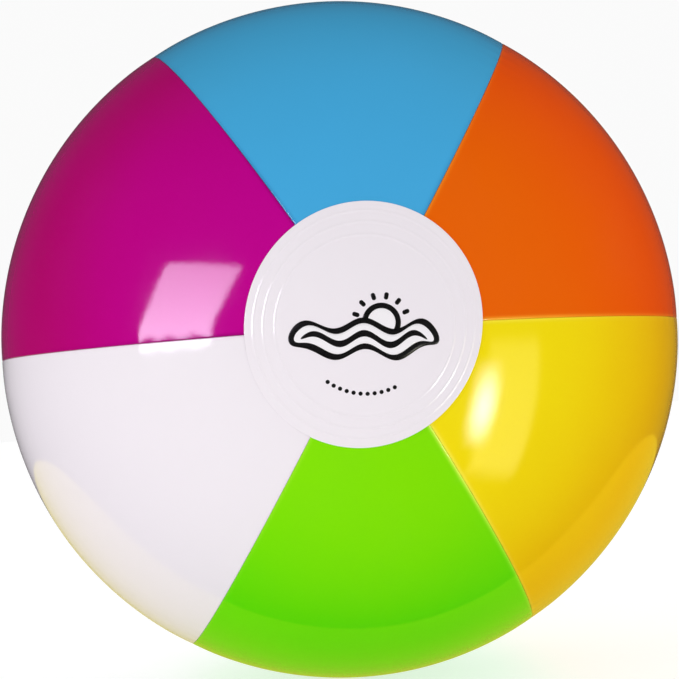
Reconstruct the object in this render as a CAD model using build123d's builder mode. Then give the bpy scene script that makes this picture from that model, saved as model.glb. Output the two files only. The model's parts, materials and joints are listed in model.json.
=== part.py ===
from build123d import *
from math import cos, degrees, radians, sin, sqrt
import os

# An inflated six-panel beach ball, in millimetres.
# The origin is the centre of the ball and +Z is up. The panels meet at two poles on the Y axis:
# the front cap covers the pole at -Y and the rear cap the one at +Y.
# Longitude starts at +X and runs right-handed about the front pole, so +Z is at 90 degrees.

BALL_R = 165.0
FILM = 0.3
PANELS = ["orange", "blue", "magenta", "white", "green", "yellow"]

# Each panel ends round a hole at the poles, and its side edges turn inward as weld fins.
POLE_HOLE_R = 33.0
FIN_DEPTH = 3.0

# The caps are discs welded over the ends of the panels, a hair above them.
CAP_R = 49.7
WELD_GAP = 0.1
RING_R = [36.7, 41.6, 45.9]
RING_WIDTH = 2.0
RING_RISE = 0.2

# The valve stands on the middle of one panel, this many degrees round from the rear pole.
VALVE_PANEL = "magenta"
VALVE_FROM_POLE = 45.0

# Heights in the valve are above the ball's surface, with the stem pushed in for play.
FLANGE_R = 15.0
FLANGE_THICK = 0.6
FLANGE_BORE_R = 8.0
LIP_THICK = 0.5
LIP_FOOT = -1.6
FILM_HOLE_R = FLANGE_BORE_R + LIP_THICK + 0.1

STEM_R = 4.8
STEM_BORE_R = 3.0
STEM_TOP = 2.0
STEM_FOOT = -10.0
BEAD_R = 5.4
BEAD_HEIGHT = 1.2
BEAD_ROUND = 0.3
COLLAR_R = 5.2
COLLAR_TOP = -6.5
COLLAR_HEIGHT = 1.2

# The web is a cone from the foot of the flange's lip to the stem's collar.
WEB_HEIGHT = 1.0
WEB_GAP = 0.1

# The strap folds back over the stem's mouth, and the plug swings about the middle of its fold.
HINGE_OUT = 10.0
HINGE_HEIGHT = STEM_TOP + 0.05
STRAP_WIDTH = 4.0
STRAP_THICK = 0.9
STRAP_GAP = 0.5

PLUG_FOOT = STEM_TOP + 0.1
PLUG_R = 5.2
PLUG_THICK = 1.4
PLUG_ROUND = 0.5
PIN_LENGTH = 4.5
PIN_FIT = 0.05
TAB_REACH = 9.0
TAB_WIDTH = 5.0
TAB_RISE = 0.2
TAB_THICK = 0.9

FLAP_R = 4.3
FLAP_THICK = 0.4
FLAP_GAP = 0.1
FLAP_HINGE_OUT = 4.0

os.makedirs("parts", exist_ok=True)

POLE_AXIS = Axis((0, 0, 0), (0, -1, 0))
SPAN = 360.0 / len(PANELS)
CORNER = (Align.MIN, Align.MIN)


def around(length):
    """The angle, in degrees, that a length laid along the ball's surface spans at its centre."""
    return degrees(length / BALL_R)


def meridian(longitude):
    """The plane of one meridian, with its x out from the pole axis and its y along +Y."""
    turn = radians(longitude)
    return Plane(origin=(0, 0, 0), x_dir=(cos(turn), 0, sin(turn)), z_dir=(-sin(turn), 0, cos(turn)))


def band(inner, outer, start, end):
    """Draw the face between two arcs about the sketch's origin, from start to end degrees."""
    with BuildLine() as outline:
        low = CenterArc((0, 0), inner, start, end - start)
        high = CenterArc((0, 0), outer, start, end - start)
        Line(low @ 0, high @ 0)
        Line(low @ 1, high @ 1)
    make_face(outline.edges())


# The valve's directions: z out of the ball and x away from the rear pole, along the surface.
valve_turn = radians(VALVE_FROM_POLE)
valve_longitude = radians(SPAN * (PANELS.index(VALVE_PANEL) + 0.5))
valve_x = Vector(
    cos(valve_turn) * cos(valve_longitude),
    -sin(valve_turn),
    cos(valve_turn) * sin(valve_longitude),
)
valve_z = Vector(
    sin(valve_turn) * cos(valve_longitude),
    cos(valve_turn),
    sin(valve_turn) * sin(valve_longitude),
)
VALVE_AXIS = Axis((0, 0, 0), valve_z)

# The section plane of the valve holds its axis, as the sketch's y, and the strap, towards its x.
SECTION = Plane(origin=(0, 0, 0), x_dir=valve_x, z_dir=valve_x.cross(valve_z))


def valve_plane(height):
    """The plane across the valve at this height above the ball's surface."""
    return Plane(origin=valve_z * (BALL_R + height), x_dir=valve_x, z_dir=valve_z)


def at(out, height):
    """A point of the section, this far out from the valve's axis and above the surface."""
    return (out, BALL_R + height)


def on_sphere(radius, out):
    """A point of the section on a sphere about the ball's centre."""
    return (out, sqrt(radius**2 - out**2))


# The six panels: strips of the sphere, with a fin along each side edge.
panel_end = 90.0 - around(POLE_HOLE_R)

for count, colour in enumerate(PANELS):
    near_seam = meridian(count * SPAN)
    far_seam = meridian((count + 1) * SPAN)
    with BuildPart() as panel:
        with BuildSketch(near_seam):
            band(BALL_R - FILM, BALL_R, -panel_end, panel_end)
        revolve(axis=POLE_AXIS, revolution_arc=SPAN)
        for seam, thickness in ((near_seam, FILM), (far_seam, -FILM)):
            with BuildSketch(seam):
                band(BALL_R - FIN_DEPTH, BALL_R - FILM / 2, -panel_end, panel_end)
            extrude(amount=thickness)
        if colour == VALVE_PANEL:
            with BuildSketch(valve_plane(0)):
                Circle(FILM_HOLE_R)
            extrude(amount=FIN_DEPTH, both=True, mode=Mode.SUBTRACT)
    panel.part.label = "panel_" + colour
    export_step(panel.part, "parts/panel_" + colour + ".step")

# The two caps: discs of a sphere just above the panels, with raised weld rings near the edge.
cap_foot = BALL_R + WELD_GAP
cap_face = cap_foot + FILM
cap_edge = around(CAP_R) - 90.0
half_ring = around(RING_WIDTH / 2)

with BuildPart() as front_cap:
    with BuildSketch(meridian(0)):
        band(cap_foot, cap_face, -90.0, cap_edge)
        for ring in RING_R:
            middle = around(ring) - 90.0
            band(cap_face - FILM / 2, cap_face + RING_RISE, middle - half_ring, middle + half_ring)
    revolve(axis=POLE_AXIS)
front_cap.part.label = "front_cap"
export_step(front_cap.part, "parts/front_cap.step")

with BuildPart() as rear_cap:
    add(front_cap.part)
    mirror(about=Plane.XZ, mode=Mode.REPLACE)
rear_cap.part.label = "rear_cap"
export_step(rear_cap.part, "parts/rear_cap.step")

# The flange lies on the film, and its lip goes down through the hole in it.
flange_foot = BALL_R + WELD_GAP
flange_face = flange_foot + FLANGE_THICK
lip_r = FLANGE_BORE_R + LIP_THICK
flange_middle = (lip_r + FLANGE_R) / 2

with BuildPart() as valve_flange:
    with BuildSketch(SECTION):
        with BuildLine():
            Polyline(
                on_sphere(flange_foot, lip_r),
                at(lip_r, LIP_FOOT),
                at(FLANGE_BORE_R, LIP_FOOT),
                on_sphere(flange_face, FLANGE_BORE_R),
            )
            ThreePointArc(
                on_sphere(flange_face, FLANGE_BORE_R),
                on_sphere(flange_face, flange_middle),
                on_sphere(flange_face, FLANGE_R),
            )
            Line(on_sphere(flange_face, FLANGE_R), on_sphere(flange_foot, FLANGE_R))
            ThreePointArc(
                on_sphere(flange_foot, FLANGE_R),
                on_sphere(flange_foot, flange_middle),
                on_sphere(flange_foot, lip_r),
            )
        make_face()
    revolve(axis=VALVE_AXIS)
valve_flange.part.label = "valve_flange"
export_step(valve_flange.part, "parts/valve_flange.step")

# The stem: a tube with a bead round its mouth and a collar where the web holds it.
with BuildPart() as valve_stem:
    with BuildSketch(SECTION):
        with Locations(at(STEM_BORE_R, STEM_FOOT)):
            Rectangle(STEM_R - STEM_BORE_R, STEM_TOP - STEM_FOOT, align=CORNER)
        with Locations(at(STEM_BORE_R, STEM_TOP - BEAD_HEIGHT)):
            Rectangle(BEAD_R - STEM_BORE_R, BEAD_HEIGHT, align=CORNER)
        with Locations(at(STEM_BORE_R, COLLAR_TOP - COLLAR_HEIGHT)):
            Rectangle(COLLAR_R - STEM_BORE_R, COLLAR_HEIGHT, align=CORNER)
    revolve(axis=VALVE_AXIS)
    bead_edges = edges().filter_by(GeomType.CIRCLE).filter_by(lambda edge: edge.radius > COLLAR_R)
    fillet(bead_edges, BEAD_ROUND)
valve_stem.part.label = "valve_stem"
export_step(valve_stem.part, "parts/valve_stem.step")

# The web: a thin cone that flips inside out when the stem travels.
web_out = FLANGE_BORE_R - WEB_GAP
web_in = COLLAR_R + WEB_GAP
web_low = COLLAR_TOP - (COLLAR_HEIGHT + WEB_HEIGHT) / 2

with BuildPart() as valve_web:
    with BuildSketch(SECTION):
        with BuildLine():
            Polyline(
                at(web_out, LIP_FOOT),
                at(web_out, LIP_FOOT + WEB_HEIGHT),
                at(web_in, web_low + WEB_HEIGHT),
                at(web_in, web_low),
                close=True,
            )
        make_face()
    revolve(axis=VALVE_AXIS)
valve_web.part.label = "valve_web"
export_step(valve_web.part, "parts/valve_web.step")

# The plug: a round head and a pin whose side is an arc about the hinge, so that it swings clear
# of the bore's mouth, with a tab to lift it on the side away from the strap.
swing = sqrt((HINGE_OUT + STEM_BORE_R - PIN_FIT) ** 2 + (HINGE_HEIGHT - STEM_TOP) ** 2)


def pin_side(height):
    """The point of the pin's side at this height, on the side away from the hinge."""
    return at(HINGE_OUT - sqrt(swing**2 - (height - HINGE_HEIGHT) ** 2), height)


pin_foot = STEM_TOP - PIN_LENGTH

with BuildPart() as valve_plug:
    with BuildSketch(SECTION):
        with BuildLine():
            ThreePointArc(pin_side(PLUG_FOOT), pin_side((PLUG_FOOT + pin_foot) / 2), pin_side(pin_foot))
            Polyline(
                pin_side(pin_foot),
                at(0, pin_foot),
                at(0, PLUG_FOOT + PLUG_THICK),
                at(-PLUG_R, PLUG_FOOT + PLUG_THICK),
                at(-PLUG_R, PLUG_FOOT),
                pin_side(PLUG_FOOT),
            )
        make_face()
    revolve(axis=VALVE_AXIS)
    rim_edges = edges().filter_by(GeomType.CIRCLE).filter_by(lambda edge: edge.radius > STEM_BORE_R)
    fillet(rim_edges.sort_by(VALVE_AXIS)[-1], PLUG_ROUND)
    with BuildSketch(valve_plane(PLUG_FOOT + TAB_RISE)):
        SlotOverall(TAB_REACH, TAB_WIDTH, align=(Align.MAX, Align.CENTER))
    extrude(amount=TAB_THICK)
valve_plug.part.label = "valve_plug"
export_step(valve_plug.part, "parts/valve_plug.step")

# The strap: two legs and a fold, from the stem's bead back to the plug's head.
hinge_point = SECTION.from_local_coords(at(HINGE_OUT, HINGE_HEIGHT))
strap_out = STRAP_GAP / 2 + STRAP_THICK
leg = HINGE_OUT - STEM_R

with BuildPart() as valve_strap:
    with BuildSketch(Plane(origin=hinge_point, x_dir=SECTION.x_dir, z_dir=SECTION.z_dir)):
        band(STRAP_GAP / 2, strap_out, -90.0, 90.0)
        for foot in (STRAP_GAP / 2, -strap_out):
            with Locations((-leg, foot)):
                Rectangle(leg, STRAP_THICK, align=CORNER)
    extrude(amount=STRAP_WIDTH / 2, both=True)
    with BuildSketch(valve_plane(STEM_TOP)):
        Circle(BEAD_R + WELD_GAP)
    extrude(amount=STRAP_WIDTH, both=True, mode=Mode.SUBTRACT)
valve_strap.part.label = "valve_strap"
export_step(valve_strap.part, "parts/valve_strap.step")

# The flap: a disc under the stem's foot, cut straight along its hinge.
with BuildPart() as valve_flap:
    with BuildSketch(valve_plane(STEM_FOOT - FLAP_GAP)):
        Circle(FLAP_R)
        with Locations((FLAP_HINGE_OUT, 0)):
            Rectangle(FLAP_R, 2 * FLAP_R, align=(Align.MIN, Align.CENTER), mode=Mode.SUBTRACT)
    extrude(amount=-FLAP_THICK)
valve_flap.part.label = "valve_flap"
export_step(valve_flap.part, "parts/valve_flap.step")
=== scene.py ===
import json

import bpy
import numpy as np
from mathutils import Matrix, Vector


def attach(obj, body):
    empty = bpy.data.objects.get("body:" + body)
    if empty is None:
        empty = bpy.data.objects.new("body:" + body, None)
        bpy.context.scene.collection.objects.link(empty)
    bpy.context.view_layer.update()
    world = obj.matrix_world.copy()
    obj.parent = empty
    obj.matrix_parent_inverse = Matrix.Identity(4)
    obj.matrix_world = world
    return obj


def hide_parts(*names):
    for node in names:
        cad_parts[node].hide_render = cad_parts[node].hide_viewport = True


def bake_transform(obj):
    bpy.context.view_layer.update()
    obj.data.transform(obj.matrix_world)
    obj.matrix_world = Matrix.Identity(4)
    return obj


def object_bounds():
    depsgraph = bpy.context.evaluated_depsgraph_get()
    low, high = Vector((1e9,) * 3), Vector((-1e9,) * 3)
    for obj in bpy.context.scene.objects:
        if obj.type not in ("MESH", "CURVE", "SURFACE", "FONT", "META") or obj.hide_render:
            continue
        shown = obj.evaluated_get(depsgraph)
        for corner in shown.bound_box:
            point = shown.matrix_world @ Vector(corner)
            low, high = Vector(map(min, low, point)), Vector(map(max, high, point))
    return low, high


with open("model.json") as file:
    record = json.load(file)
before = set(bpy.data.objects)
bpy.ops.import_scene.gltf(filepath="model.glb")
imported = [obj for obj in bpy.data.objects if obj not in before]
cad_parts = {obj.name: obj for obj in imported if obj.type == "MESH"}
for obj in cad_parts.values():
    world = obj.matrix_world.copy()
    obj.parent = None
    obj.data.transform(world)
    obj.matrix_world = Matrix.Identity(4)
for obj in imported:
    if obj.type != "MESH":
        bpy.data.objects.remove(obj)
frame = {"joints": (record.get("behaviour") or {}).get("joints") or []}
cad_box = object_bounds()


# ---- Panels ---------------------------------------------------------------------------------
# Six gores of glossy PVC film, 0.3 mm thick and each dyed through in one colour. They are welded
# edge to edge face to face, and the ball is then turned right side out through a pole, which
# leaves the narrow weld fins inside and only a fine crease along each seam.

BALL_R = cad_box[1].x
FILM = 0.0003
POLE_HOLE = 0.033
CREASE_R = 0.0005
FIN_DEPTH = 0.003
SEAM_DIP = 0.00012
SEAM_DIP_REACH = 0.008
PUCKER = 0.00008
PUCKER_REACH = 0.005
WAVINESS = 0.00012
VALVE_HOLDS = 0.018
VALVE_FADE = 0.030
# each dye at the ball's widest, and painted paler at the poles: painted front light, lighter towards
# both poles
PANEL_COLOURS = {
    "orange": ((0.78, 0.070, 0.0003), (0.82, 0.122, 0.0004)),
    "blue": ((0.052, 0.340, 0.590), (0.058, 0.390, 0.720)),
    "magenta": ((0.40, 0.0003, 0.120), (0.50, 0.0004, 0.255)),
    "white": ((0.79, 0.738, 0.789), (0.84, 0.787, 0.835)),
    "green": ((0.072, 0.66, 0.0005), (0.22, 0.74, 0.0010)),
    "yellow": ((0.77, 0.40, 0.0006), (0.89, 0.71, 0.0040)),
}
# how far each seam was welded off its even place, in degrees, from the one below the orange panel
SEAM_SLIPS = np.array([-0.2, -1.7, 0.75, 0.5, 0.3, 0.3])
SEAMS = np.radians(np.arange(0, 361, 60) + np.append(SEAM_SLIPS, SEAM_SLIPS[0]))

slide = next(j for j in frame["joints"] if j["name"] == "stem_slide")
hinge = next(j for j in frame["joints"] if j["name"] == "plug_hinge")
VALVE_OUT = np.array(slide["axis"]) / np.linalg.norm(slide["axis"])


def on_ball(radius, from_pole, longitude):
    """Points at a radius from the ball's centre, an angle from the front pole and a longitude."""
    ring = radius * np.sin(from_pole)
    along = -radius * np.cos(from_pole) + 0 * longitude
    return np.stack([ring * np.cos(longitude), along, ring * np.sin(longitude)], axis=-1)


def ball_waves(points):
    """How far the film stands in or out of a true ball: three crossing sine waves, long and low,
    that fade out towards the valve, whose stiff flange holds the film to a true curve."""
    x, y, z = np.moveaxis(points / BALL_R, -1, 0)
    first = np.sin(7.1 * x + 3.2 * y + 0.6)
    second = np.sin(6.3 * z - 4.4 * x + 1.9)
    third = np.sin(8.2 * y + 5.1 * z + 4.0)
    off_valve = np.linalg.norm(points - BALL_R * VALVE_OUT, axis=-1)
    loose = np.clip((off_valve - VALVE_HOLDS) / VALVE_FADE, 0, 1) ** 2
    return WAVINESS * loose * (first + second + third) / 3


def seam_relief(seam, along, away):
    """The film's depth beside a seam: a bell-shaped dip, and puckers across it that die away.

    The dip is its depth times exp(-(away / reach)^2). The puckers are a sine of the distance along
    the seam whose pace drifts slowly, times exp(-away / reach), and each seam starts at its own
    point of the sine.
    """
    dip = SEAM_DIP * np.exp(-((away / SEAM_DIP_REACH) ** 2))
    pace = along / 0.0021 + 1.8 * np.sin(along / 0.0093 + seam) + 2.4 * seam
    swell = 0.55 + 0.45 * np.sin(along / 0.027 + 1.3 * seam)
    return dip + PUCKER * swell * (1 + np.sin(pace)) * np.exp(-away / PUCKER_REACH)


def panel_grid(number, rows=200, half_columns=40):
    """The outside of one panel, row by row from pole to pole and seam to seam, and how far each
    point lies from the nearer seam.

    Across a row the film rises straight up the fin, turns over a quarter circle onto the ball, and
    runs to the far seam, with points closer together near the seams. The turn at a distance a from
    the seam lies at a depth of c - sqrt(c^2 - (c - a)^2), where c is the crease's radius.
    """
    end = POLE_HOLE / BALL_R
    from_pole = np.linspace(end, np.pi - end, rows)[:, None]
    ring = BALL_R * np.sin(from_pole)
    half_width = ring * (SEAMS[number + 1] - SEAMS[number]) / 2
    fin_depths = np.array([FIN_DEPTH, FIN_DEPTH / 2, 1.5 * CREASE_R])
    turn = np.linspace(0, np.pi / 2, 7)
    spread = (np.arange(1, half_columns + 1) / half_columns) ** 2
    corner_away = CREASE_R * (1 - np.cos(turn))
    corner_depth = CREASE_R * (1 - np.sin(turn))
    away = np.concatenate([np.zeros(3), corner_away])
    away = np.broadcast_to(away, (rows, away.size))
    away = np.hstack([away, CREASE_R + (half_width - CREASE_R) * spread])
    depth = np.concatenate([fin_depths, corner_depth, np.zeros(half_columns)])
    depth = np.broadcast_to(depth, away.shape)

    near = SEAMS[number] + away / ring
    far = SEAMS[number + 1] - away / ring
    along = BALL_R * from_pole
    near_depth = depth + seam_relief(number, along, away)
    far_depth = depth + seam_relief((number + 1) % len(PANEL_COLOURS), along, away)
    longitude = np.hstack([near, far[:, -2::-1]])
    depth = np.hstack([near_depth, far_depth[:, -2::-1]])
    middle = on_ball(BALL_R, from_pole, longitude)
    away = np.hstack([away, away[:, -2::-1]])
    return on_ball(BALL_R - depth + ball_waves(middle), from_pole, longitude), away


def piece(name, points, faces, material, values=None):
    """Make a smooth-shaded object of these points and faces, leaving out points no face uses. Values
    given by name are kept at its points."""
    used, faces = np.unique(faces, return_inverse=True)
    faces = faces.reshape(-1, 4)
    corners = [f[:3] if f[2] == f[3] else f for f in faces.tolist()]
    mesh = bpy.data.meshes.new(name)
    mesh.from_pydata(points.reshape(-1, 3)[used].tolist(), [], corners)
    mesh.polygons.foreach_set("use_smooth", np.ones(len(mesh.polygons), bool))
    mesh.materials.append(material)
    for value_name, value in (values or {}).items():
        attribute = mesh.attributes.new(value_name, "FLOAT", "POINT")
        attribute.data.foreach_set("value", value.ravel()[used])
    mesh.update()
    made = bpy.data.objects.new(name, mesh)
    bpy.context.collection.objects.link(made)
    return made


def grid_faces(rows, columns):
    """The four corners of each cell of a grid of points, numbered row by row."""
    corner = np.arange(rows * columns).reshape(rows, columns)
    cells = [corner[:-1, :-1], corner[1:, :-1], corner[1:, 1:], corner[:-1, 1:]]
    return np.stack(cells, axis=-1).reshape(-1, 4)


class Shade:
    """A value or colour that varies over a surface, as one socket of a material's nodes.

    Adding, subtracting or multiplying it, with a number or a Shade on either side, adds a Math node.
    """

    def __init__(self, tree, socket=None):
        self.tree = tree
        self.socket = socket

    def node(self, kind, settings, inputs, out=0):
        """Add a node: its settings first, with a ramp's stops among them, then values and links."""
        made = self.tree.nodes.new("ShaderNode" + kind)
        for setting, value in settings.items():
            if setting == "stops":
                for element, stop in zip(made.color_ramp.elements, value):
                    element.position = stop[0]
                    element.color = (stop[1], stop[1], stop[1], 1)
            else:
                setattr(made, setting, value)
        for key, value in inputs.items():
            if isinstance(value, Shade):
                self.tree.links.new(value.socket, made.inputs[key])
            else:
                made.inputs[key].default_value = value
        return Shade(self.tree, made.outputs[out] if made.outputs else None)

    def math(self, operation, *values):
        """Add a Math node with this shade, or the values given, as its inputs."""
        return self.node("Math", {"operation": operation}, dict(enumerate(values or (self,))))

    def __add__(self, other):
        return self.math("ADD", self, other)

    def __sub__(self, other):
        return self.math("SUBTRACT", self, other)

    def __rsub__(self, other):
        return self.math("SUBTRACT", other, self)

    def __mul__(self, other):
        return self.math("MULTIPLY", self, other)

    __radd__ = __add__
    __rmul__ = __mul__


def new_material(name):
    """An empty material, and a Shade that adds nodes to it."""
    made = bpy.data.materials.new(name)
    made.use_nodes = True
    made.node_tree.nodes.clear()
    return made, Shade(made.node_tree)


def tint(field, factor, low, high):
    """Blend two colours by a factor from 0 to 1."""
    return field.node("Mix", {"data_type": "RGBA"}, {0: factor, 6: (*low, 1), 7: (*high, 1)}, out=2)


def noise(field, place, scale, detail):
    """Soft noise from about 0 to 1, with this many grains to the metre."""
    return field.node("TexNoise", {}, {"Vector": place, "Scale": scale, "Detail": detail})


def vinyl(colour_name, shaded_at_widest, lit_at_poles, seam_shading_colour):
    """Glossy dyed film: its tone drifts at random and is painted paler towards the poles as painted
    front light, thumb smears dull its gloss, an orange peel roughens it, and painted crease shade
    and painted highlights lie along its seams."""
    material, field = new_material("vinyl_" + colour_name)
    place = field.node("TexCoord", {}, {}, out=3)
    drift = noise(field, place, 14.0, 2.0)
    grain = noise(field, place, 900.0, 2.0)
    smear = noise(field, place, 38.0, 5.0)
    peel = noise(field, place, 330.0, 2.0)
    to_pole = field.node("SeparateXYZ", {}, {"Vector": place}, out=1).math("ABSOLUTE")
    # painted front light: the film's colour is blended towards its lighter colour towards both poles
    painted_front_light = field.node(
        "MapRange",
        {"interpolation_type": "SMOOTHSTEP"},
        {0: to_pole, 1: 0.50 * BALL_R, 2: BALL_R, 3: 0.0, 4: 0.95},
    )
    film_colour = tint(field, painted_front_light + drift * 0.3 + grain * 0.1 - 0.1, shaded_at_widest, lit_at_poles)
    # painted seam shading: dark colours paint the crease's shade, light ones a highlight along it
    weld = field.node("Attribute", {"attribute_name": "weld"}, {}, out=2)
    film_colour = field.node(
        "Mix", {"data_type": "RGBA"}, {0: weld, 6: film_colour, 7: (*seam_shading_colour, 1)}, out=2
    )
    relief = field.node(
        "Bump", {}, {"Strength": 1.0, "Distance": 0.000014, "Height": peel + grain * 0.1}
    )
    surface = field.node(
        "BsdfPrincipled",
        {},
        {
            "Base Color": film_colour,
            "Roughness": smear * smear * 0.08 + 0.05,
            "Normal": relief,
            "IOR": 1.5,
        },
    )
    field.node("OutputMaterial", {}, {"Surface": surface})
    return material


# painted seam shading: how wide it is, and how it fades from the caps to its least share at the
# ball's widest
SEAM_SHADING_WIDTH = 0.0011
SEAM_SHADING_FADE = 0.050
SEAM_SHADING_LEAST = 0.3
# painted seam shading: the colour painted along each panel's seams, dark for the crease's shade and
# light for a highlight along it, and how strongly at its two seams
PAINTED_SEAM_SHADING = {
    "orange": ((0.95, 0.45, 0.03), 0.80, 0.35),
    "blue": ((0.02, 0.13, 0.36), 0.45, 0.45),
    "magenta": ((0.16, 0.0, 0.09), 0.50, 0.60),
    "white": ((0.80, 0.45, 0.70), 0.35, 0.15),
    "green": ((0.80, 0.95, 0.10), 0.15, 0.85),
    "yellow": ((0.95, 0.90, 0.15), 0.40, 0.25),
}
HOLE_R = 0.0086
HOLE_REACH = 0.0115

for number, (colour_name, (shaded_at_widest, lit_at_poles)) in enumerate(PANEL_COLOURS.items()):
    node = "panel_" + colour_name
    points, away = panel_grid(number)
    rows, columns = points.shape[:2]
    faces = grid_faces(rows, columns)
    if colour_name == "magenta":
        # the film is cut out round the valve, and its edge is pulled to a circle
        height = points @ VALVE_OUT
        side = points - height[..., None] * VALVE_OUT
        off = np.linalg.norm(side, axis=-1)
        at_hole = (off < HOLE_REACH) & (height > 0)
        side *= np.where(at_hole, HOLE_R / np.maximum(off, 1e-9), 1.0)[..., None]
        points = side + height[..., None] * VALVE_OUT
        faces = faces[~at_hole.ravel()[faces].all(axis=1)]
    # painted seam shading: strongest at the caps, fading towards the widest, and only close beside
    # each seam
    seam_shading_colour, near_seam_shading, far_seam_shading = PAINTED_SEAM_SHADING[colour_name]
    seam_shading_share = np.where(np.arange(columns) < columns // 2, near_seam_shading, far_seam_shading)
    from_cap = BALL_R * np.linspace(0, np.pi, rows)
    from_cap = np.minimum(from_cap, from_cap[::-1])[:, None] - POLE_HOLE
    seam_shading_share = seam_shading_share * (SEAM_SHADING_LEAST + (1 - SEAM_SHADING_LEAST) * np.exp(-((from_cap / SEAM_SHADING_FADE) ** 2)))
    seam_shading_share = seam_shading_share * np.exp(-((away / SEAM_SHADING_WIDTH) ** 2))
    film = vinyl(colour_name, shaded_at_widest, lit_at_poles, seam_shading_colour)
    panel = piece("film_" + colour_name, points, faces, film, {"weld": seam_shading_share})
    wall = panel.modifiers.new("wall", "SOLIDIFY")
    wall.thickness = FILM
    wall.offset = -1
    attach(panel, "ball")
    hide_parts(node)


# ---- Caps -----------------------------------------------------------------------------------
# A round disc of the white film is welded over the panel ends at each pole. The ring-shaped weld
# tool leaves three low ridges near the disc's edge, and the edge itself stands up as a thin step.

CAP_R = 0.0497
CAP_STEP = 0.0004
CAP_FOOT = 0.00006
EDGE_ROUND = 0.00022
RIDGES = (0.0367, 0.0416, 0.0459)
RIDGE_HALF = 0.0008
RIDGE_RISE = 0.00014
OFF_CENTRE = 0.027
OFF_ROUND = 0.027
TRUE_R = 0.030
FLAT_R = 0.002


def wrapped(name, rings, material, start=None, end=None):
    """A closed piece from rings of points, each closed on itself and joined to the next ring.

    A point given for the start or the end closes that end with a fan of triangles. With neither,
    the last ring joins the first. The volume is a sixth of the sum of each corner's triple product
    with its neighbours, and where it comes out below zero the faces are turned over.
    """
    count, around = rings.shape[:2]
    corner = np.arange(count * around).reshape(count, around)
    if start is None and end is None:
        corner = np.vstack([corner, corner[:1]])
    turned = np.roll(corner, -1, axis=1)
    cells = [np.stack([corner[:-1], turned[:-1], turned[1:], corner[1:]], axis=-1).reshape(-1, 4)]
    points = rings.reshape(-1, 3)
    for tip, first, second in ((start, turned[0], corner[0]), (end, corner[-1], turned[-1])):
        if tip is not None:
            fan = np.full(around, len(points))
            cells.append(np.stack([first, second, fan, fan], axis=-1))
            points = np.vstack([points, tip])
    faces = np.vstack(cells)
    first, second, third, fourth = np.moveaxis(points[faces], 1, 0)
    volume = (first * np.cross(second, third) + first * np.cross(third, fourth)).sum()
    if volume < 0:
        faces = faces[:, [1, 0, 3, 2]]
    return piece(name, points, faces, material)


def cap_profile():
    """Distance from the pole and height over the ball, from the middle of the face to its edge,
    round the edge and back along the underside. A ridge is a raised cosine across its width."""
    face = np.concatenate(
        [np.linspace(FLAT_R, 0.034, 14), np.linspace(0.0345, CAP_R - EDGE_ROUND, 90)]
    )
    height = np.full(face.size, CAP_STEP)
    for ridge in RIDGES:
        across = np.clip((face - ridge) / RIDGE_HALF, -1, 1)
        height += RIDGE_RISE * (1 + np.cos(np.pi * across)) / 2
    turn = np.linspace(0, np.pi / 2, 6)[1:]
    edge = CAP_R - EDGE_ROUND + EDGE_ROUND * np.sin(turn)
    edge_height = CAP_STEP - EDGE_ROUND + EDGE_ROUND * np.cos(turn)
    under = np.array([CAP_R - 0.00002, CAP_R - 0.002, 0.03, FLAT_R])
    out = np.concatenate([face, edge, under])
    up = np.concatenate([height, edge_height, np.full(under.size, CAP_FOOT)])
    return out, up


def cap(name, side, material, around=240):
    """One cap: its profile swept round the pole. Its edge lies a little off centre and out of round,
    as a hand-laid disc does: shares of its radius times the cosines of the turn and twice the turn.
    Within the true radius the disc stays round."""
    out, up = cap_profile()
    turn = np.linspace(0, 2 * np.pi, around, endpoint=False)
    slip = OFF_CENTRE * np.cos(turn - 1.84) + OFF_ROUND * np.cos(2 * turn - 2.2)
    shape = 1 + slip * np.clip((out[:, None] - TRUE_R) / 0.018, 0, 1)
    from_pole = out[:, None] * shape / BALL_R
    flat = on_ball(BALL_R, from_pole, turn)
    rings = on_ball(BALL_R + up[:, None] + ball_waves(flat), from_pole, turn)
    top = on_ball(BALL_R + up[0] + ball_waves(flat[0]).mean(), 0.0, 0.0)
    low = on_ball(BALL_R + up[-1] + ball_waves(flat[0]).mean(), 0.0, 0.0)
    if side > 0:
        rings = rings[:, ::-1] * (1, -1, 1)
        top = top * (1, -1, 1)
        low = low * (1, -1, 1)
    return wrapped(name, rings, material, top, low)


# the cap's film carries the same painted front light as the panels, and no painted seam shading
cap_vinyl = vinyl("cap", *PANEL_COLOURS["white"], PANEL_COLOURS["white"][1])
for node, side in (("front_cap", -1), ("rear_cap", 1)):
    disc = cap("disc_" + node, side, cap_vinyl)
    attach(disc, "ball")
    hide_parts(node)


# ---- Print ----------------------------------------------------------------------------------
# Two inks screened on the front cap before it is welded on: black with a white core for the wave
# and the sun, and a black arc of dots under them.

INK = 0.00003
WAVE_RIGHT = -0.0010
WAVE_UP = -0.0050
WAVE_HALF = 0.0240
WAVE_TILT = 0.0016
CREST = 0.0026
SUN = (0.0062, 0.0012)
SUN_R = 0.0056
SUN_EDGE_R = 0.0078
RAY_NEAR = 0.0092
RAY_FAR = 0.0122
RAY_HALF = 0.0009
DOT_RING = 0.0270
DOT_R = 0.00085


def on_cap(right, up, lift):
    """Points of the front cap's face: a distance to the right and up from the pole, and a lift."""
    out = np.hypot(right, up)
    turn = np.arctan2(up, right)
    middle = on_ball(BALL_R, out / BALL_R, turn)
    return on_ball(BALL_R + CAP_STEP + lift + ball_waves(middle), out / BALL_R, turn)


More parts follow.
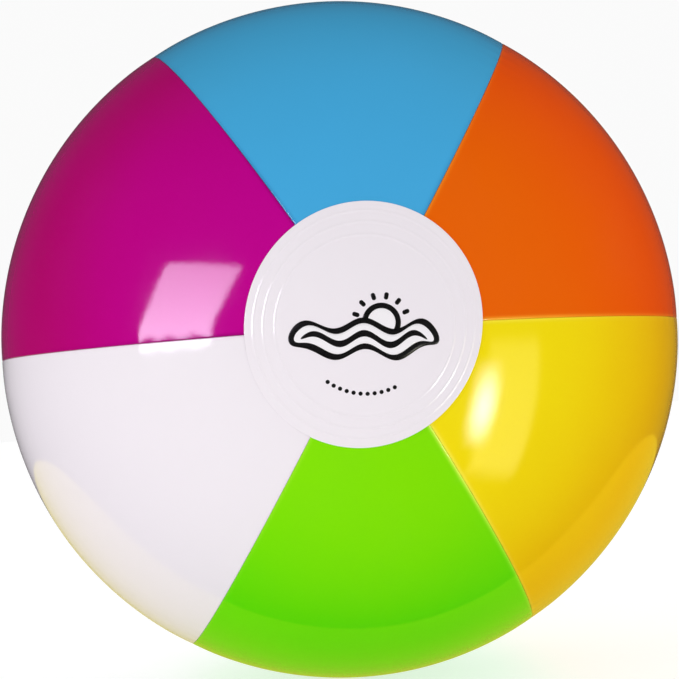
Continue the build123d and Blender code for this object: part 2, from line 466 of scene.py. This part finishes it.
def ink(name, colour):
    """Screen ink: almost even, with a faint grain and a slightly duller gloss than the film."""
    material, field = new_material(name)
    place = field.node("TexCoord", {}, {}, out=3)
    grain = noise(field, place, 1500.0, 3.0)
    light = tuple(c + 0.008 for c in colour)
    relief = field.node("Bump", {}, {"Strength": 1.0, "Distance": 0.000008, "Height": grain})
    surface = field.node(
        "BsdfPrincipled",
        {},
        {
            "Base Color": tint(field, grain, colour, light),
            "Roughness": grain * 0.15 + 0.22,
            "Normal": relief,
        },
    )
    field.node("OutputMaterial", {}, {"Surface": surface})
    return material


def ink_film(name, right, up, layer, material):
    """A film of ink over one or more grids of places on the cap, above the layers already dry."""
    patches, rows, columns = np.broadcast_shapes(right.shape, up.shape)
    points = on_cap(*np.broadcast_arrays(right, up), INK * (layer + 1))
    first = rows * columns * np.arange(patches)[:, None, None]
    faces = grid_faces(rows, columns)[None] + first
    film = piece(name, points, faces, material)
    wall = film.modifiers.new("wall", "SOLIDIFY")
    wall.thickness = 1.5 * INK
    wall.offset = -1
    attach(film, "ball")


def dot_places(middle_right, middle_up, radius, cells=9):
    """Grids squeezed from squares to round dots: each side's place is scaled by the square root of
    one less half the other side's square."""
    side = np.linspace(-1, 1, cells)
    u, v = np.meshgrid(side, side, indexing="ij")
    right = u * np.sqrt(1 - v**2 / 2)
    up = v * np.sqrt(1 - u**2 / 2)
    middle_right = np.reshape(middle_right, (-1, 1, 1))
    middle_up = np.reshape(middle_up, (-1, 1, 1))
    return middle_right + radius * right, middle_up + radius * up


def ray_places(middle_right, middle_up, near, far, half_width, count):
    """Grids of a sun's rays: each is a bar along its own spoke, rounded at both ends."""
    spoke = np.radians(np.linspace(20, 160, count))[:, None, None]
    along = np.linspace(-1, 1, 15)[None, :, None]
    across = np.linspace(-1, 1, 5)[None, None, :]
    reach = (near + far) / 2 + (far - near) / 2 * along
    side = half_width * across * np.sqrt(np.clip(1.02 - along**4, 0, 1))
    right = middle_right + reach * np.cos(spoke) - side * np.sin(spoke)
    up = middle_up + reach * np.sin(spoke) + side * np.cos(spoke)
    return right, up


def wave_places(half_height):
    """A grid over a band along a wave. Its middle is a cosine of two and a half turns that swells
    and sinks a little towards the right, and its half height is that of a squared-off round end."""
    along = np.linspace(-1, 1, 181)[None, :, None]
    across = np.linspace(-1, 1, 9)[None, None, :]
    middle = WAVE_UP + CREST * (0.85 + 0.15 * along) * np.cos(2.5 * np.pi * along)
    middle = middle - WAVE_TILT * along
    half = half_height * np.sqrt(np.clip(1.01 - along**6, 0, 1))
    right = WAVE_RIGHT + (WAVE_HALF + half_height) * along
    return right, middle + half * across


black_ink = ink("ink_black", (0.0015, 0.001, 0.0015))
white_ink = ink("ink_white", (0.86, 0.83, 0.86))
ink_film("print_sun_edge", *dot_places(*SUN, SUN_EDGE_R, 21), 0, black_ink)
ink_film("print_sun", *dot_places(*SUN, SUN_R, 21), 1, white_ink)
ink_film("print_rays", *ray_places(*SUN, RAY_NEAR, RAY_FAR, RAY_HALF, 6), 0, black_ink)
ink_film("print_wave_edge", *wave_places(0.0063), 2, black_ink)
ink_film("print_wave", *wave_places(0.0040), 3, white_ink)
ink_film("print_wave_line", *wave_places(0.0013), 4, black_ink)
spoke = np.radians(np.linspace(-128, -68, 11))
dots = dot_places(DOT_RING * np.cos(spoke), DOT_RING * np.sin(spoke), DOT_R)
ink_film("print_dots", *dots, 0, black_ink)


# ---- Valve ----------------------------------------------------------------------------------
# Soft clear PVC, dipped and moulded. The flange is welded over a hole in the film, a thin web
# under it lets the stem be pushed in flush, and the plug hangs on a strap folded over the mouth.

FLANGE_R = 0.015
FLANGE_BORE = 0.008
LIP_R = 0.0085
LIP_FOOT = -0.0016
FLANGE_FOOT = 0.0001
FLANGE_THICK = 0.0006
FLANGE_ROUND = 0.0004
VALVE_ACROSS = np.array(hinge["axis"]) / np.linalg.norm(hinge["axis"])
VALVE_STRAP = np.cross(VALVE_ACROSS, VALVE_OUT)


def at_valve(out, across, height):
    """Points in the valve's own frame: out along the strap, across it, and above the ball."""
    out, across, height = np.broadcast_arrays(out, across, height)
    frame_axes = np.stack([VALVE_STRAP, VALVE_ACROSS, VALVE_OUT])
    return np.stack([out, across, BALL_R + height], axis=-1) @ frame_axes


def rounded(corners, radius, steps=5):
    """A closed outline with its corners rounded: each is the curve
    (1 - t)^2 start + 2 t (1 - t) corner + t^2 end, between points a radius along its two sides."""
    corner = np.array(corners, float)
    before = np.roll(corner, 1, axis=0) - corner
    after = np.roll(corner, -1, axis=0) - corner
    radius = np.broadcast_to(radius, len(corner))[:, None]
    start = corner + radius * before / np.linalg.norm(before, axis=1, keepdims=True)
    end = corner + radius * after / np.linalg.norm(after, axis=1, keepdims=True)
    t = np.linspace(0, 1, steps)[None, :, None]
    curve = (1 - t) ** 2 * start[:, None] + 2 * t * (1 - t) * corner[:, None] + t**2 * end[:, None]
    return curve.reshape(-1, 2)


def turned(profile, around=96, relief=None):
    """Rings from a profile of distances out and heights, turned about the valve's axis."""
    turn = np.linspace(0, 2 * np.pi, around, endpoint=False)
    out = profile[:, :1]
    height = profile[:, 1:] + (0 if relief is None else relief(out, turn))
    return at_valve(out * np.cos(turn), out * np.sin(turn), height)


def soft_pvc(name, colour, shine):
    """Milky moulded PVC: cloudy inside, with fine flow lines and dust in its gloss."""
    material, field = new_material(name)
    place = field.node("TexCoord", {}, {}, out=3)
    cloud = noise(field, place, 160.0, 4.0)
    flow = field.node(
        "TexNoise", {}, {"Vector": place, "Scale": 420.0, "Detail": 3.0, "Distortion": 1.5}
    )
    dust = field.node(
        "ValToRGB",
        {"stops": ((0.62, 0.0), (0.74, 1.0))},
        {"Fac": noise(field, place, 2400.0, 2.0)},
    )
    dark = tuple(0.86 * c for c in colour)
    relief = field.node(
        "Bump", {}, {"Strength": 1.0, "Distance": 0.00003, "Height": flow + dust * 0.3}
    )
    surface = field.node(
        "BsdfPrincipled",
        {},
        {
            "Base Color": tint(field, cloud, dark, colour),
            "Roughness": cloud * 0.14 + dust * 0.15 + shine,
            "Normal": relief,
            "IOR": 1.53,
            "Subsurface Weight": 0.35,
            "Subsurface Radius": (0.004, 0.004, 0.004),
            "Subsurface Scale": 0.5,
        },
    )
    field.node("OutputMaterial", {}, {"Surface": surface})
    return material


valve_pvc = soft_pvc("valve_pvc", (0.73, 0.78, 0.82), 0.16)
flap_pvc = soft_pvc("flap_pvc", (0.60, 0.65, 0.70), 0.30)

WELD_FROM = 0.0100
WELD_TO = 0.0136
WELD_TEETH = 44
TOOTH_DEPTH = 0.00013


def knurl(out, turn):
    """The weld tool's teeth: a cosine round the flange, in a band that fades in and out again."""
    band = np.clip((out - WELD_FROM) / 0.0004, 0, 1) * np.clip((WELD_TO - out) / 0.0004, 0, 1)
    return -TOOTH_DEPTH * band * (1 + np.cos(WELD_TEETH * turn)) / 2


def flange_profile():
    """The flange's section, from its bore over its face to its edge, back under it and down the
    lip. Its face and foot lie on spheres about the ball's middle."""
    out = np.linspace(FLANGE_BORE + 0.0003, FLANGE_R - FLANGE_ROUND, 26)
    face = np.sqrt((BALL_R + FLANGE_FOOT + FLANGE_THICK) ** 2 - out**2) - BALL_R
    turn = np.linspace(0, np.pi / 2, 6)[1:]
    edge_out = FLANGE_R - FLANGE_ROUND + FLANGE_ROUND * np.sin(turn)
    edge_up = face[-1] - FLANGE_ROUND * (1 - np.cos(turn))
    under = np.array([FLANGE_R - 0.0001, 0.0115, LIP_R + 0.0002])
    under_up = np.sqrt((BALL_R + FLANGE_FOOT) ** 2 - under**2) - BALL_R
    lip = np.array([LIP_R, LIP_R, LIP_R - 0.00015, FLANGE_BORE + 0.00015, FLANGE_BORE, FLANGE_BORE])
    lip_up = np.array([-0.0003, LIP_FOOT + 0.00015, LIP_FOOT, LIP_FOOT, LIP_FOOT + 0.00015, 0.0002])
    profile_out = np.concatenate([out, edge_out, under, lip])
    return np.stack([profile_out, np.concatenate([face, edge_up, under_up, lip_up])], axis=-1)


flange = wrapped("valve_flange_ring", turned(flange_profile(), 264, knurl), valve_pvc)
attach(flange, "ball")
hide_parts("valve_flange")

COLLAR_R = 0.0052
WEB_TOP = -0.0006
WEB_LOW = -0.0066
WEB_DROP = 0.0010
WEB_MIDDLE = 0.00055
WEB_WIDE_R = 0.0079
WEB_NARROW_R = 0.0053
t = np.linspace(0, 1, 15)
sag = 0.0003 * np.sin(2 * np.pi * t)
web_out = WEB_WIDE_R + (WEB_NARROW_R - WEB_WIDE_R) * t
web_up = WEB_TOP + (WEB_LOW - WEB_TOP) * t + sag
web_profile = np.vstack(
    [
        np.stack([web_out, web_up], axis=-1),
        np.stack([web_out, web_up - WEB_DROP], axis=-1)[::-1],
    ]
)
web = wrapped("valve_web_cone", turned(web_profile), valve_pvc)
tuple(at_valve(0.0, 0.0, WEB_TOP - WEB_MIDDLE))
tuple(at_valve(0.0, 0.0, WEB_LOW - WEB_MIDDLE))
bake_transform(web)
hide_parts("valve_web")

STEM_R = 0.0048
STEM_BORE = 0.0030
STEM_TOP = 0.0020
STEM_FOOT = -0.0100
BEAD_R = 0.0054
BEAD_FOOT = STEM_TOP - 0.0012
COLLAR_TOP = -0.0065
COLLAR_FOOT = -0.0077
stem_profile = rounded(
    [
        (STEM_BORE, STEM_TOP),
        (BEAD_R, STEM_TOP),
        (BEAD_R, BEAD_FOOT),
        (STEM_R, BEAD_FOOT),
        (STEM_R, COLLAR_TOP),
        (COLLAR_R, COLLAR_TOP),
        (COLLAR_R, COLLAR_FOOT),
        (STEM_R, COLLAR_FOOT),
        (STEM_R, STEM_FOOT),
        (STEM_BORE, STEM_FOOT),
    ],
    [0.0002, 0.0004, 0.0003, 0.0001, 0.0001, 0.0003, 0.0003, 0.0001, 0.0003, 0.0003],
)
stem = wrapped("valve_stem_tube", turned(stem_profile), valve_pvc)
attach(stem, "stem")
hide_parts("valve_stem")

HINGE_OUT = 0.0100
HINGE_HEIGHT = STEM_TOP + 0.00005
PLUG_FOOT = STEM_TOP + 0.0001
PLUG_TOP = PLUG_FOOT + 0.0014
PLUG_R = 0.0052
PIN_FOOT = STEM_TOP - 0.0045
SWING = np.hypot(HINGE_OUT + STEM_BORE - 0.00005, HINGE_HEIGHT - STEM_TOP)

# the pin's side is an arc about the hinge, so it swings clear of the bore's mouth
pin_height = np.linspace(PLUG_FOOT, PIN_FOOT + 0.0003, 8)
pin_side = np.sqrt(SWING**2 - (pin_height - HINGE_HEIGHT) ** 2) - HINGE_OUT
turn = np.linspace(0, np.pi / 2, 6)[1:]
plug_profile = np.vstack(
    [
        [(0.0006, PLUG_TOP - 0.0002), (0.0026, PLUG_TOP - 0.0002), (0.0030, PLUG_TOP)],
        [(PLUG_R - 0.0005, PLUG_TOP)],
        np.stack(
            [PLUG_R - 0.0005 + 0.0005 * np.sin(turn), PLUG_TOP - 0.0005 + 0.0005 * np.cos(turn)],
            axis=-1,
        ),
        [(PLUG_R, PLUG_FOOT + 0.0001), (PLUG_R - 0.0001, PLUG_FOOT)],
        np.stack([pin_side, pin_height], axis=-1),
        [(pin_side[-1] - 0.0001, PIN_FOOT + 0.0001), (pin_side[-1] - 0.0004, PIN_FOOT)],
    ]
)
plug = wrapped(
    "valve_plug_head",
    turned(plug_profile),
    valve_pvc,
    at_valve(0.0, 0.0, PLUG_TOP - 0.0002),
    at_valve(0.0, 0.0, PIN_FOOT),
)
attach(plug, "plug")
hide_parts("valve_plug")


def plate(name, outline, foot, top, material):
    """A flat piece with rounded edges: its outline, drawn in towards its middle by the same amount
    that the edge's half circle has turned in, at each height."""
    middle = outline.mean(axis=0)
    edge = (top - foot) / 2
    turn = np.linspace(0, np.pi, 9)[:, None, None]
    reach = np.linalg.norm(outline - middle, axis=1)[None, :, None]
    ring = middle + (outline - middle)[None] * (1 - edge * (1 - np.sin(turn)) / reach)
    height = (top + foot) / 2 + edge * np.cos(turn[..., 0])
    points = at_valve(ring[..., 0], ring[..., 1], height)
    return wrapped(name, points, material, at_valve(*middle, top), at_valve(*middle, foot))


TAB_REACH = 0.0090
TAB_HALF = 0.0025
TAB_FOOT = PLUG_FOOT + 0.0002
TAB_THICK = 0.0009
turn = np.linspace(0, 2 * np.pi, 72, endpoint=False)
tab_end = (TAB_REACH / 2 - TAB_HALF) * np.sign(np.cos(turn))
tab_outline = np.stack(
    [-TAB_REACH / 2 + tab_end + TAB_HALF * np.cos(turn), TAB_HALF * np.sin(turn)], axis=-1
)
tab = plate("valve_plug_tab", tab_outline, TAB_FOOT, TAB_FOOT + TAB_THICK, valve_pvc)
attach(tab, "plug")

STRAP_HALF = 0.0020
FOLD_IN = 0.00025
FOLD_OUT = 0.00115
LEG_START = 0.0050
fold = np.linspace(-np.pi / 2, np.pi / 2, 61)
legs = np.linspace(LEG_START, HINGE_OUT, 9)[:-1]


def strap_side(reach):
    """One face of the strap: along the lower leg, round the fold at this reach, and back."""
    out = np.concatenate([legs, HINGE_OUT + reach * np.cos(fold), legs[::-1]])
    height = np.concatenate([0 * legs - reach, reach * np.sin(fold), 0 * legs + reach])
    return out, HINGE_HEIGHT + height


in_out, in_up = strap_side(FOLD_IN)
out_out, out_up = strap_side(FOLD_OUT)
# each ring goes round the strap's section: a rounded oblong between its two faces
section = rounded([(0, -1), (1, -1), (1, 1), (0, 1)], [0.2, 0.2, 0.2, 0.2], 4)
mix = section[:, 0][None, :]
across = STRAP_HALF * section[:, 1][None, :]
strap_points = at_valve(
    in_out[:, None] * (1 - mix) + out_out[:, None] * mix,
    across,
    in_up[:, None] * (1 - mix) + out_up[:, None] * mix,
)
strap = wrapped(
    "valve_strap_band",
    strap_points,
    valve_pvc,
    strap_points[0].mean(axis=0),
    strap_points[-1].mean(axis=0),
)
tuple(at_valve(0.0, 0.0, HINGE_HEIGHT - FOLD_IN))
tuple(at_valve(0.0, 0.0, HINGE_HEIGHT + FOLD_IN))
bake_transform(strap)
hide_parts("valve_strap")

FLAP_R = 0.0043
FLAP_HINGE_OUT = 0.0040
FLAP_TOP = STEM_FOOT - 0.0001
FLAP_THICK = 0.0004
turn = np.linspace(0, 2 * np.pi, 96, endpoint=False)
flap_outline = np.stack(
    [np.minimum(FLAP_R * np.cos(turn), FLAP_HINGE_OUT), FLAP_R * np.sin(turn)], axis=-1
)
flap = plate("valve_flap_disc", flap_outline, FLAP_TOP - FLAP_THICK, FLAP_TOP, flap_pvc)
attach(flap, "flap")
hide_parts("valve_flap")


# ---- Studio ---------------------------------------------------------------------------------
# The ball lies on a pale floor. A leaning soft box stands to its left, a window with one bright
# pane to its right, and a glowing table top reaches from under the ball to behind it.

FLOOR_R = 6.0
paper, field = new_material("paper")
place = field.node("TexCoord", {}, {}, out=3)
fibre = noise(field, place, 60.0, 6.0)
sheet = field.node(
    "BsdfPrincipled",
    {},
    {
        "Base Color": tint(field, fibre, (0.34, 0.34, 0.34), (0.38, 0.38, 0.38)),
        "Roughness": 0.8,
        "Emission Color": (1, 1, 1, 1),
        "Emission Strength": 0.68,
    },
)
field.node("OutputMaterial", {}, {"Surface": sheet})
turn = np.linspace(0, 2 * np.pi, 96, endpoint=False)
rings = np.array([0.3, 1.0, 3.0, FLOOR_R])[:, None, None] * np.stack(
    [np.cos(turn), np.sin(turn), np.zeros(turn.size)], axis=-1
)
lift = np.array([0.0, 0.0, cad_box[0].z - 0.0001])
floor = wrapped("floor", rings + lift, paper, start=lift)


def lamp(name, place, width, height, power, shape="RECTANGLE", aim=(0, 0, 0)):
    """A soft lamp at a place, facing its aim, with its power in watts."""
    light = bpy.data.lights.new(name, "AREA")
    light.shape = shape
    light.size = width
    light.size_y = height
    light.energy = power
    made = bpy.data.objects.new(name, light)
    bpy.context.collection.objects.link(made)
    facing = (Vector(aim) - Vector(place)).to_track_quat("-Z", "Y").to_matrix().to_4x4()
    made.matrix_world = Matrix.Translation(place) @ facing
    made.visible_camera = False
    return made


left_fill = lamp("left_fill", (-1.02, -0.77, 0.20), 0.62, 0.86, 4.5)
left_fill.visible_glossy = False


def glow_card(name, place, width, height, lean, soft, colour, strength):
    """A glowing card that shows only in reflections. It faces the ball, its sides lean over, and it
    fades to clear at its edges. What is left of it is the product, over both ways across, of the
    smoothstep of the distance from the edge as a share of the soft margin, and less at the top."""
    material, field = new_material(name)
    fade = field.node("Attribute", {"attribute_name": "fade"}, {}, out=2)
    surface = field.node(
        "BsdfPrincipled",
        {},
        {
            "Base Color": (0, 0, 0, 1),
            "Roughness": 1.0,
            "Emission Color": (*colour, 1),
            "Emission Strength": strength,
        },
    )
    clear = field.node("BsdfTransparent", {}, {})
    faded = field.node("MixShader", {}, {0: fade, 1: clear, 2: surface})
    field.node("OutputMaterial", {}, {"Surface": faded})
    back = np.array(place) / np.linalg.norm(place)
    right = np.cross((0, 0, 1), back)
    right /= np.linalg.norm(right)
    up = np.cross(back, right)
    share = np.linspace(-1, 1, 33)
    v, u = np.meshgrid(share, share, indexing="ij")
    margin = np.clip((1 - np.abs(np.stack([u, v]))) / soft, 0, 1)
    fade_value = (margin**2 * (3 - 2 * margin)).prod(axis=0) * (0.78 - 0.22 * v)
    side = u * width / 2 + v * height / 2 * np.tan(lean)
    points = np.array(place) + side[..., None] * right + (v * height / 2)[..., None] * up
    card = piece(name, points, grid_faces(33, 33), material, {"fade": fade_value})
    card.visible_camera = False
    card.visible_diffuse = False
    card.visible_shadow = False


LILAC = (0.86, 0.76, 1.0)
WARM = (1.0, 0.98, 0.40)
glow_card("left_box", (-0.985, -0.81, 0.262), 0.60, 0.52, np.radians(24), 0.12, LILAC, 14.5)
glow_card("right_pane", (0.151, -0.260, -0.096), 0.052, 0.128, np.radians(7), 1.0, (1, 1, 1), 26.0)
glow_card("right_window", (0.183, -0.238, -0.102), 0.094, 0.215, np.radians(4), 0.35, WARM, 3.0)
TABLE_BACK = 2.485 * BALL_R
TABLE_ACROSS = 6.06 * BALL_R
table_place = (0.0, TABLE_BACK, cad_box[0].z + 0.0002)
above_table = (0.0, 0.41, 1.0)
table = lamp("table_glow", table_place, TABLE_ACROSS, TABLE_ACROSS, 1.4, "DISK", above_table)
table.data.color = (1.0, 0.85, 0.03)
table.visible_diffuse = False
floor.visible_glossy = False

world = bpy.data.worlds.new("studio")
world.use_nodes = True
world.node_tree.nodes.clear()
field = Shade(world.node_tree)
direction = field.node("TexCoord", {}, {}, out=0)
across = field.node("SeparateXYZ", {}, {"Vector": direction}, out=0)
behind = field.node("SeparateXYZ", {}, {"Vector": direction}, out=1)


def glow(place, dark_at, bright_at, strength):
    """Light whose strength rises smoothly from nothing between two places across the room."""
    return field.node(
        "MapRange",
        {"interpolation_type": "SMOOTHSTEP"},
        {0: place, 1: dark_at, 2: bright_at, 3: 0.0, 4: strength},
    )


# the film is lit from behind and in front, from a ring round the ball's widest, and from the right
fill = glow(behind, -0.2, 0.9, 0.85) + glow(behind, 0.2, -0.9, 0.46)
fill = fill + glow(behind, -0.1, 0.3, 0.75) * glow(behind, 0.8, 0.3, 1.0)
fill = fill + glow(across, -0.2, 0.9, 1.10) + glow(across, 0.2, -0.9, 0.30)
gloss = glow(behind, 0.55, 1.0, 0.03) + 0.02
seen = field.node("LightPath", {}, {}, out=0)
mirrored = field.node("LightPath", {}, {}, out=3)
strength = fill * (1 - seen - mirrored) + gloss * mirrored + seen * 0.96
light = field.node("Background", {}, {"Color": (1, 1, 1, 1), "Strength": strength})
field.node("OutputWorld", {}, {"Surface": light})
bpy.context.scene.world = world
bpy.context.scene.view_settings.view_transform = "Standard"


# ---- Camera ---------------------------------------------------------------------------------
# It looks along the poles from a little left and below, rolled by a few degrees, and the ball
# almost fills its frame.

CAMERA_AWAY = 5 * BALL_R
AZIMUTH, ELEVATION, ROLL = np.radians([-3.80, -1.62, -3.5])
SENSOR = 36.0
FILLED = 0.9965
camera_data = bpy.data.cameras.new("camera")
# a ball's outline is seen at an angle whose tangent is R / sqrt(away^2 - R^2)
camera_data.lens = FILLED * SENSOR / 2 * np.sqrt(CAMERA_AWAY**2 - BALL_R**2) / BALL_R
camera = bpy.data.objects.new("camera", camera_data)
bpy.context.collection.objects.link(camera)
back = Vector(
    (
        np.sin(AZIMUTH) * np.cos(ELEVATION),
        -np.cos(AZIMUTH) * np.cos(ELEVATION),
        np.sin(ELEVATION),
    )
)
facing = (-back).to_track_quat("-Z", "Y").to_matrix().to_4x4()
camera.matrix_world = (
    Matrix.Translation(back * CAMERA_AWAY) @ facing @ Matrix.Rotation(ROLL, 4, "Z")
)
bpy.context.scene.camera = camera
